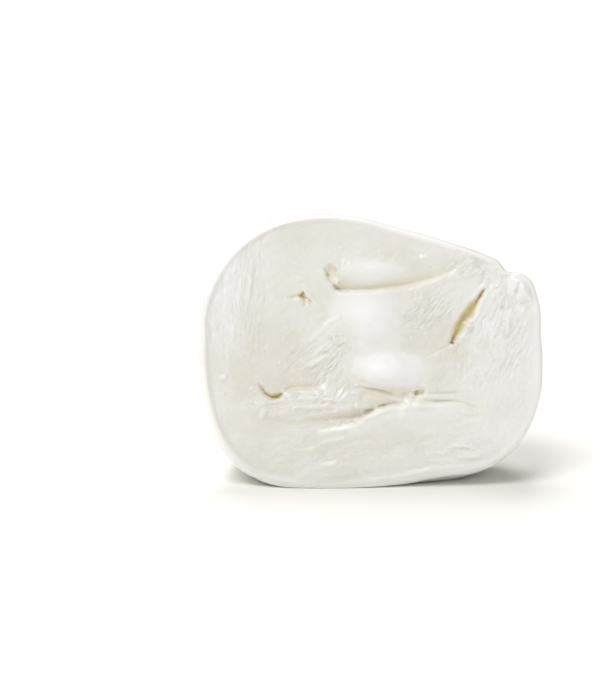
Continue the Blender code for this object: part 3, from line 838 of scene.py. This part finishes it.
def cream_island(field, white, middle, rows, around, sag):
    """A layer of cream that thins out to nothing over the curd, with its hollow filled below.

    field tells how far inside the edge a place lies, white how white the cream is there, and sag how
    far it hangs down. Returns points in the face's frame, faces, and the whiteness at each point.
    """
    angle = np.arange(around) / around * 2 * math.pi
    steps = np.linspace(0.0, 24.0, 481)
    ray_u = middle[0] + np.cos(angle)[:, None] * steps
    ray_v = middle[1] + np.sin(angle)[:, None] * steps
    outside = field(ray_u, ray_v) < -1.2
    edge = steps[np.argmax(outside, axis=1)]
    edge = (np.roll(edge, 1) + 2 * edge + np.roll(edge, -1)) / 4
    share = np.linspace(0.0, 1.0, rows + 1)[1:, None]
    u = np.concatenate(([middle[0]], (middle[0] + np.cos(angle) * edge * share).ravel()))
    v = np.concatenate(([middle[1]], (middle[1] + np.sin(angle) * edge * share).ravel()))
    inside = field(u, v)
    base = face_swell(u, v) + lobe_swell(u, v)
    ripple = 0.14 * waves(u, v, 3.4, 2.4, 91) + 0.05 * waves(u, v, 1.2, 1.0, 92)
    top = base + 0.14 * smooth(-1.0, 3.0, inside) - 0.3 * smooth(0.3, -1.2, inside)
    top = top + ripple * smooth(0.0, 2.0, inside)
    under = base - 1.2 - 1.6 * smooth(-0.9, 2.5, inside)
    points = np.concatenate([np.stack((u, v + sag(u, v), w), -1) for w in (top, under)])
    half = len(u)
    faces = [(0, 1 + (i + 1) % around, 1 + i) for i in range(around)]
    for row in range(rows - 1):
        faces += ring_faces(1 + row * around, 1 + (row + 1) * around, around)
    upper = list(faces)
    faces += ring_faces(half - around, 2 * half - around, around)
    faces += [tuple(i + half for i in reversed(f)) for f in upper]
    return points, faces, np.tile(white(u, v), 2)


def make_cream(material, origin):
    """The pool with its waist and lobe, and the smear on the crown, as one object."""
    pool, pool_faces, pool_white = cream_island(cream_field, cream_white, (1.2, 2.0), 64, 300, lobe_sag)
    smear, smear_faces, smear_whiteness = cream_island(
        smear_field, smear_white, (0.4, 18.9), 24, 160, lambda u, v: 0.0 * u
    )
    values = {"film": np.concatenate((pool_white, smear_whiteness))}
    faces = pool_faces + [tuple(i + len(pool) for i in f) for f in smear_faces]
    points = (place(*np.concatenate((pool, smear)).T) + origin) * MM
    return mesh_object("cream_filling", points, faces, values, material)


# ---------------------------------------------------------------- nodes and materials

def add(tree, kind, inputs=None, **settings):
    """Adds a node with its settings; inputs maps a socket's name or number to a value or output."""
    node = tree.nodes.new(kind)
    for key, value in settings.items():
        setattr(node, key, value)
    for key, value in (inputs or {}).items():
        if isinstance(value, bpy.types.NodeSocket):
            tree.links.new(value, node.inputs[key])
        else:
            node.inputs[key].default_value = value
    return node


def colour(hex_code):
    """sRGB hex to the linear colour that a shader takes."""
    channels = [int(hex_code[i:i + 2], 16) / 255 for i in (1, 3, 5)]
    return [c / 12.92 if c <= 0.04045 else ((c + 0.055) / 1.055) ** 2.4 for c in channels] + [1.0]


def per_metre(size):
    """A pattern's scale, from its size in millimetres."""
    return 1.0 / (size * MM)


def new_material(name, evenly):
    """A material, its tree and its shader, with the values that are the same all over it."""
    material = bpy.data.materials.new(name)
    material.use_nodes = True
    shader = material.node_tree.nodes["Principled BSDF"]
    for key, value in evenly.items():
        shader.inputs[key].default_value = value
    return material, material.node_tree, shader


def along_pull(tree, place_on, degrees):
    """Places measured along one direction of pull in steps of 2.2 mm, and across it in 0.7 mm."""
    turn = math.radians(degrees)
    long, short = per_metre(2.2222), per_metre(0.71429)
    x, y = (
        add(tree, "ShaderNodeVectorMath", {0: place_on, 1: way}, operation="DOT_PRODUCT").outputs["Value"]
        for way in (
            (math.cos(turn) * long, 0.0, math.sin(turn) * long),
            (-math.sin(turn) * short, 0.0, math.cos(turn) * short),
        )
    )
    return add(tree, "ShaderNodeCombineXYZ", {"X": x, "Y": y}).outputs[0]


def strand_height(tree, place_on, marks):
    """Torn fibres and little scales of half to one and a half millimetres along each pull."""
    height = 0.0
    for way, degrees in WAYS.items():
        fibre = add(tree, "ShaderNodeTexNoise", {
            "Vector": along_pull(tree, place_on, degrees), "Scale": 1.0, "Detail": 3.0,
            "Roughness": 0.58, "Distortion": 0.5,
        })
        strand = add(tree, "ShaderNodeMapRange", {
            "Value": fibre.outputs["Fac"], "From Min": 0.42, "From Max": 0.72,
        }, interpolation_type="SMOOTHSTEP")
        part = add(tree, "ShaderNodeMath", {0: strand.outputs[0], 1: marks[way]}, operation="MULTIPLY")
        height = add(tree, "ShaderNodeMath", {0: height, 1: part.outputs[0]}, operation="ADD").outputs[0]
    return height


def stretched_curd_material():
    """Fresh stretched curd: milk-white, dense and moist, a little see-through at thin edges.

    The cut curd is warmer than the skin, which was set in brine and is satin. Cracks, holes, hollows
    and the feet of ledges get a warm painted shade, for the shade in them and the light that crosses
    the curd many times there, and the tops of the strands get a painted highlight.
    """
    material, tree, shader = new_material("stretched_curd", {
        "IOR": 1.42, "Subsurface Radius": (1.0, 0.82, 0.58), "Subsurface Scale": 0.4 * MM,
        "Coat Weight": 0.45, "Coat Roughness": 0.2,
    })
    place_on = add(tree, "ShaderNodeTexCoord").outputs["Object"]
    marks = {
        key: add(tree, "ShaderNodeAttribute", attribute_name=key, attribute_type="GEOMETRY").outputs["Fac"]
        for key in ("pale", "film", "skin", "deep", "wet", "scales", *WAYS)
    }
    height = strand_height(tree, place_on, marks)

    # Clouds of whiter curd 9 mm across, with flecks of a millimetre.
    cloud = add(tree, "ShaderNodeTexNoise", {
        "Vector": place_on, "Scale": per_metre(9.0909), "Detail": 3.0, "Roughness": 0.55,
    }).outputs["Fac"]
    fleck = add(tree, "ShaderNodeTexNoise", {
        "Vector": place_on, "Scale": per_metre(1.1111), "Detail": 2.0, "Roughness": 0.6,
    }).outputs["Fac"]
    cloudy = add(tree, "ShaderNodeMapRange", {"Value": cloud, "From Min": 0.35, "From Max": 0.68}).outputs[0]
    flecked = add(tree, "ShaderNodeMapRange", {
        "Value": fleck, "From Min": 0.56, "From Max": 0.72, "To Max": 0.35,
    }).outputs[0]
    # The raised strands are painted whiter towards their tops, a painted highlight.
    strand_highlight = add(tree, "ShaderNodeMath", {0: height, 1: 0.16}, operation="MULTIPLY").outputs[0]
    # Warm shade painted into cracks, holes, hollows and under ledges, in a tan colour.
    painted_warm_shade = add(tree, "ShaderNodeMath", {0: marks["deep"], 1: 0.8}, operation="MULTIPLY").outputs[0]

    skin = colour("#E9E7E1")
    for share, tint in ((cloudy, "#EFEEEA"), (marks["pale"], "#F6F6F3")):
        skin = add(tree, "ShaderNodeMix", {0: share, 6: skin, 7: colour(tint)}, data_type="RGBA").outputs[2]
    look = colour("#E2DFD5")
    for share, over in (
        (cloudy, colour("#E7E4DC")), (flecked, colour("#F3F1EA")), (marks["pale"], colour("#F4F4F3")),
        (strand_highlight, colour("#F8F8F7")), (marks["film"], colour("#F4F4F3")), (marks["skin"], skin),
        (painted_warm_shade, colour("#EEE1AC")),
    ):
        look = add(tree, "ShaderNodeMix", {0: share, 6: look, 7: over}, data_type="RGBA").outputs[2]
    tree.links.new(look, shader.inputs["Base Color"])

    gloss = add(tree, "ShaderNodeMapRange", {
        "Value": cloud, "From Min": 0.3, "From Max": 0.7, "To Min": 0.30, "To Max": 0.46,
    })
    wet = add(tree, "ShaderNodeMath", {0: marks["wet"], 1: -0.2}, operation="MULTIPLY")
    rough = add(tree, "ShaderNodeMath", {0: gloss.outputs[0], 1: wet.outputs[0]}, operation="ADD")
    tree.links.new(rough.outputs[0], shader.inputs["Roughness"])

    ridge = add(tree, "ShaderNodeBump", {"Height": height, "Strength": 1.0, "Distance": 0.22 * MM})
    grain = add(tree, "ShaderNodeTexNoise", {
        "Vector": place_on, "Scale": per_metre(0.38462), "Detail": 3.0, "Roughness": 0.6,
    })
    bump = add(tree, "ShaderNodeBump", {
        "Height": grain.outputs["Fac"], "Strength": 0.35, "Distance": 0.09 * MM, "Normal": ridge.outputs[0],
    })
    tree.links.new(bump.outputs[0], shader.inputs["Normal"])
    # Light goes into the curd less where cream or torn scales lie on it.
    dense = add(tree, "ShaderNodeMath", {0: marks["film"], 1: marks["scales"]}, operation="MAXIMUM")
    milky = add(tree, "ShaderNodeMapRange", {"Value": dense.outputs[0], "To Min": 0.45, "To Max": 0.08})
    tree.links.new(milky.outputs[0], shader.inputs["Subsurface Weight"])
    return material


def cream_material():
    """Thick fresh cream: the whitest part, smooth and moist, with broad soft highlights.

    Where it lies thin, it takes on the warmer tone of the curd.
    """
    material, tree, shader = new_material("fresh_cream", {
        "Roughness": 0.45, "IOR": 1.45, "Coat Weight": 0.12, "Coat Roughness": 0.42,
    })
    place_on = add(tree, "ShaderNodeTexCoord").outputs["Object"]
    film = add(tree, "ShaderNodeAttribute", attribute_name="film", attribute_type="GEOMETRY")
    swirl = add(tree, "ShaderNodeTexNoise", {
        "Vector": place_on, "Scale": per_metre(3.8462), "Detail": 2.0, "Distortion": 0.6,
    }).outputs["Fac"]
    look = colour("#E9E7E0")
    milk = add(tree, "ShaderNodeMix", {
        0: swirl, 6: colour("#F2F2F1"), 7: colour("#F5F5F4"),
    }, data_type="RGBA")
    thin = add(tree, "ShaderNodeMix", {0: film.outputs["Fac"], 6: look, 7: milk.outputs[2]}, data_type="RGBA")
    tree.links.new(thin.outputs[2], shader.inputs["Base Color"])
    bump = add(tree, "ShaderNodeBump", {"Height": swirl, "Strength": 0.3, "Distance": 0.12 * MM})
    tree.links.new(bump.outputs[0], shader.inputs["Normal"])
    return material


def curd_flake_material():
    """Small torn flakes of curd: whiter than the cut because they are thin and catch the light."""
    material, tree, shader = new_material("torn_curd_flakes", {
        "Roughness": 0.33, "IOR": 1.42, "Coat Weight": 0.3, "Coat Roughness": 0.2,
    })
    place_on = add(tree, "ShaderNodeTexCoord").outputs["Object"]
    tint = add(tree, "ShaderNodeTexNoise", {
        "Vector": place_on, "Scale": per_metre(2.8571), "Detail": 2.0,
    }).outputs["Fac"]
    white = add(tree, "ShaderNodeMix", {
        0: tint, 6: colour("#F0EFE9"), 7: colour("#F6F6F2"),
    }, data_type="RGBA")
    tree.links.new(white.outputs[2], shader.inputs["Base Color"])
    bump = add(tree, "ShaderNodeBump", {"Height": tint, "Strength": 0.4, "Distance": 0.1 * MM})
    tree.links.new(bump.outputs[0], shader.inputs["Normal"])
    return material


# ---------------------------------------------------------------- torn flakes by geometry nodes

def shred_shape(name, length, width, height, segments, rings):
    """A low shred of curd that runs out into the surface all round, highest near its torn end."""
    points = [(0.08 * length, 0.0, height)]
    for ring in range(1, rings + 1):
        share = ring / rings
        for step in range(segments):
            turn = step / segments * 2 * math.pi
            ragged = 1.0 + 0.22 * math.sin(3 * turn + 1.0) * share + 0.12 * math.sin(5 * turn) * share
            x = length * (0.5 * share * math.cos(turn) * ragged + 0.08 * (1 - share))
            y = 0.5 * width * share * math.sin(turn) * ragged * (1.0 - 0.3 * math.cos(turn) * share)
            points.append((x, y, height * (1.0 - share**2) ** 1.6 - 0.012 * share))
    points.append((0.0, 0.0, -0.5 * height))
    faces = [(0, 1 + i, 1 + (i + 1) % segments) for i in range(segments)]
    for ring in range(rings - 1):
        here, there = 1 + ring * segments, 1 + (ring + 1) * segments
        for i in range(segments):
            j = (i + 1) % segments
            faces.append((here + i, there + i, there + j, here + j))
    last = 1 + (rings - 1) * segments
    faces += [(last + (i + 1) % segments, last + i, len(points) - 1) for i in range(segments)]
    mesh = bpy.data.meshes.new(name)
    mesh.from_pydata([tuple(c * MM for c in p) for p in points], [], faces)
    mesh.shade_smooth()
    return bpy.data.objects.new(name, mesh)


def scatter_tree():
    """Strews a shape over the torn parts of a mesh, laid along the way the curd was pulled."""
    tree = bpy.data.node_groups.new("torn_flakes", "GeometryNodeTree")
    plugs = tree.interface
    plugs.new_socket("Geometry", in_out="INPUT", socket_type="NodeSocketGeometry")
    sockets = {}
    for name, kind in (
        ("Flake", "Object"), ("Per square metre", "Float"), ("Closest", "Float"), ("Smallest", "Float"),
        ("Largest", "Float"), ("Tilt", "Float"), ("Waver", "Float"), ("Sunk", "Float"), ("Seed", "Int"),
        ("Stuff", "Material"),
    ):
        sockets[name] = plugs.new_socket(name, in_out="INPUT", socket_type="NodeSocket" + kind).identifier
    plugs.new_socket("Geometry", in_out="OUTPUT", socket_type="NodeSocketGeometry")
    given = add(tree, "NodeGroupInput").outputs
    scaly = add(tree, "GeometryNodeInputNamedAttribute", {"Name": "scales"}, data_type="FLOAT")
    pull = add(tree, "GeometryNodeInputNamedAttribute", {"Name": "pull"}, data_type="FLOAT_VECTOR")
    spots = add(tree, "GeometryNodeDistributePointsOnFaces", {
        "Mesh": given["Geometry"], "Distance Min": given["Closest"], "Density Max": given["Per square metre"],
        "Density Factor": scaly.outputs["Attribute"], "Seed": given["Seed"],
    }, distribute_method="POISSON")

    # Each lies flat along the pull, then swings to one side and lifts an end a little, at random.
    flat = add(tree, "FunctionNodeAlignRotationToVector", {"Vector": spots.outputs["Normal"]}, axis="Z")
    laid = add(tree, "FunctionNodeAlignRotationToVector", {
        "Rotation": flat.outputs[0], "Vector": pull.outputs["Attribute"],
    }, axis="X", pivot_axis="Z")
    waver = add(tree, "FunctionNodeRandomValue", {"Seed": 11}, data_type="FLOAT")
    swing = add(tree, "ShaderNodeMath", {0: waver.outputs[1], 1: 0.5}, operation="SUBTRACT")
    swung = add(tree, "ShaderNodeMath", {0: swing.outputs[0], 1: given["Waver"]}, operation="MULTIPLY")
    lean = add(tree, "FunctionNodeRandomValue", {"Seed": 12}, data_type="FLOAT")
    leant = add(tree, "ShaderNodeMath", {0: lean.outputs[1], 1: given["Tilt"]}, operation="MULTIPLY")
    turn = add(tree, "ShaderNodeCombineXYZ", {"Y": leant.outputs[0], "Z": swung.outputs[0]})
    final = add(tree, "FunctionNodeRotateRotation", {
        "Rotation": laid.outputs[0], "Rotate By": turn.outputs[0],
    }, rotation_space="LOCAL")
    size = add(tree, "FunctionNodeRandomValue", {
        2: given["Smallest"], 3: given["Largest"], "Seed": 13,
    }, data_type="FLOAT")
    down = add(tree, "ShaderNodeVectorMath", {
        0: spots.outputs["Normal"], "Scale": given["Sunk"],
    }, operation="SCALE")
    settled = add(tree, "GeometryNodeSetPosition", {
        "Geometry": spots.outputs["Points"], "Offset": down.outputs[0],
    })
    shape = add(tree, "GeometryNodeObjectInfo", {"Object": given["Flake"]})
    placed = add(tree, "GeometryNodeInstanceOnPoints", {
        "Points": settled.outputs[0], "Instance": shape.outputs["Geometry"],
        "Rotation": final.outputs[0], "Scale": size.outputs[1],
    })
    real = add(tree, "GeometryNodeRealizeInstances", {"Geometry": placed.outputs[0]})
    stuff = add(tree, "GeometryNodeSetMaterial", {"Geometry": real.outputs[0], "Material": given["Stuff"]})
    add(tree, "NodeGroupOutput", {"Geometry": stuff.outputs[0]})
    return tree, sockets


def strew(name, tree, sockets, host, settings):
    """Runs the tree over a copy of the host's mesh and keeps the result as a plain mesh."""
    carrier = bpy.data.objects.new(name + "_carrier", host.data)
    bpy.context.scene.collection.objects.link(carrier)
    modifier = carrier.modifiers.new(name, "NODES")
    modifier.node_group = tree
    for key, value in settings.items():
        modifier[sockets[key]] = value
    view = bpy.context.evaluated_depsgraph_get()
    view.update()
    mesh = bpy.data.meshes.new_from_object(carrier.evaluated_get(view), depsgraph=view)
    carrier.modifiers.remove(modifier)
    bpy.data.objects.remove(carrier)
    mesh.name = name
    mesh.shade_smooth()
    piece = bpy.data.objects.new(name, mesh)
    bpy.context.scene.collection.objects.link(piece)
    return piece


# ---------------------------------------------------------------- the studio

# Five wide, soft lights: power, spread in degrees, and where each comes from.
LIGHTS = (
    ("back_light", 1.55, 34, (-0.10, 0.52, 1.0)),
    ("left_back_light", 0.50, 40, (-1.0, 0.30, 0.75)),
    ("high_left_light", 1.63, 30, (-0.34, -0.46, 1.0)),
    ("low_left_light", 0.36, 45, (-0.7, -0.8, 0.45)),
    ("right_fill", 0.36, 50, (1.0, -0.5, 0.5)),
)
CAMERA_TILT = math.radians(12.0)
CAMERA_DISTANCE = 0.482
CAMERA_AIM = Vector((-0.018, 0.0, 0.0328))


def make_floor():
    """A matt white table top, far wider than the view."""
    material, tree, shader = new_material("white_table", {"Roughness": 0.9})
    place_on = add(tree, "ShaderNodeTexCoord").outputs["Object"]
    haze = add(tree, "ShaderNodeTexNoise", {
        "Vector": place_on, "Scale": per_metre(500.0), "Detail": 1.0,
    }).outputs["Fac"]
    white = add(tree, "ShaderNodeMix", {
        0: haze, 6: colour("#F3F1ED"), 7: colour("#F5F3EF"),
    }, data_type="RGBA")
    tree.links.new(white.outputs[2], shader.inputs["Base Color"])
    bpy.ops.mesh.primitive_plane_add(size=40.0, location=(0.0, 0.0, 0.0))
    floor = bpy.context.object
    floor.name = "table"
    floor.data.materials.append(material)


def light_the_studio():
    """Weak light from all round, a white backdrop that only the camera sees, and the five lights."""
    world = bpy.data.worlds.new("studio")
    world.use_nodes = True
    tree = world.node_tree
    around = tree.nodes["Background"]
    around.inputs["Color"].default_value = (1.0, 0.99, 0.972, 1.0)
    around.inputs["Strength"].default_value = 0.19
    backdrop = add(tree, "ShaderNodeBackground", {"Color": (1.0, 1.0, 1.0, 1.0), "Strength": 1.05})
    path = add(tree, "ShaderNodeLightPath")
    both = add(tree, "ShaderNodeMixShader", {
        0: path.outputs["Is Camera Ray"], 1: around.outputs[0], 2: backdrop.outputs[0],
    })
    tree.links.new(both.outputs[0], tree.nodes["World Output"].inputs["Surface"])
    bpy.context.scene.world = world

    for name, power, spread, source in LIGHTS:
        sun = bpy.data.lights.new(name, "SUN")
        sun.energy = power
        sun.angle = math.radians(spread)
        lamp = bpy.data.objects.new(name, sun)
        lamp.rotation_euler = (-Vector(source)).to_track_quat("-Z", "Y").to_euler()
        bpy.context.scene.collection.objects.link(lamp)


def aim_camera():
    """A long lens that looks down a little on the cut face."""
    camera = bpy.data.cameras.new("camera")
    camera.lens = 100.0
    camera.sensor_width = 36.0
    camera.clip_start = 0.01
    camera.clip_end = 100.0
    eye = bpy.data.objects.new("camera", camera)
    back_and_up = Vector((0.0, -math.cos(CAMERA_TILT), math.sin(CAMERA_TILT)))
    eye.location = CAMERA_AIM + CAMERA_DISTANCE * back_and_up
    eye.rotation_euler = (math.pi / 2 - CAMERA_TILT, 0.0, 0.0)
    bpy.context.scene.collection.objects.link(eye)
    bpy.context.scene.camera = eye


# ---------------------------------------------------------------- the scene

bpy.context.scene.view_settings.view_transform = "Standard"
aim_camera()
light_the_studio()
make_floor()

half, origin = make_half(stretched_curd_material())
cream = make_cream(cream_material(), origin)
tree, sockets = scatter_tree()
flake_stuff = curd_flake_material()
short_flakes = strew("torn_flakes", tree, sockets, half, {
    "Flake": shred_shape("flake", 1.0, 0.5, 0.09, 9, 3), "Per square metre": 0.22e6, "Closest": 0.8 * MM,
    "Smallest": 0.5, "Largest": 1.2, "Tilt": 0.10, "Waver": 0.7, "Sunk": -0.01 * MM, "Seed": 4,
    "Stuff": flake_stuff,
})
long_flakes = strew("torn_fibres", tree, sockets, half, {
    "Flake": shred_shape("fibre", 2.4, 0.4, 0.09, 10, 3), "Per square metre": 1.3e5, "Closest": 1.2 * MM,
    "Smallest": 0.5, "Largest": 1.1, "Tilt": 0.04, "Waver": 0.4, "Sunk": -0.01 * MM, "Seed": 9,
    "Stuff": flake_stuff,
})
for piece in (short_flakes, long_flakes):
    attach(piece, "root")
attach(half, "root")
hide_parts("curd")
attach(cream, "root")
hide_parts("cream")
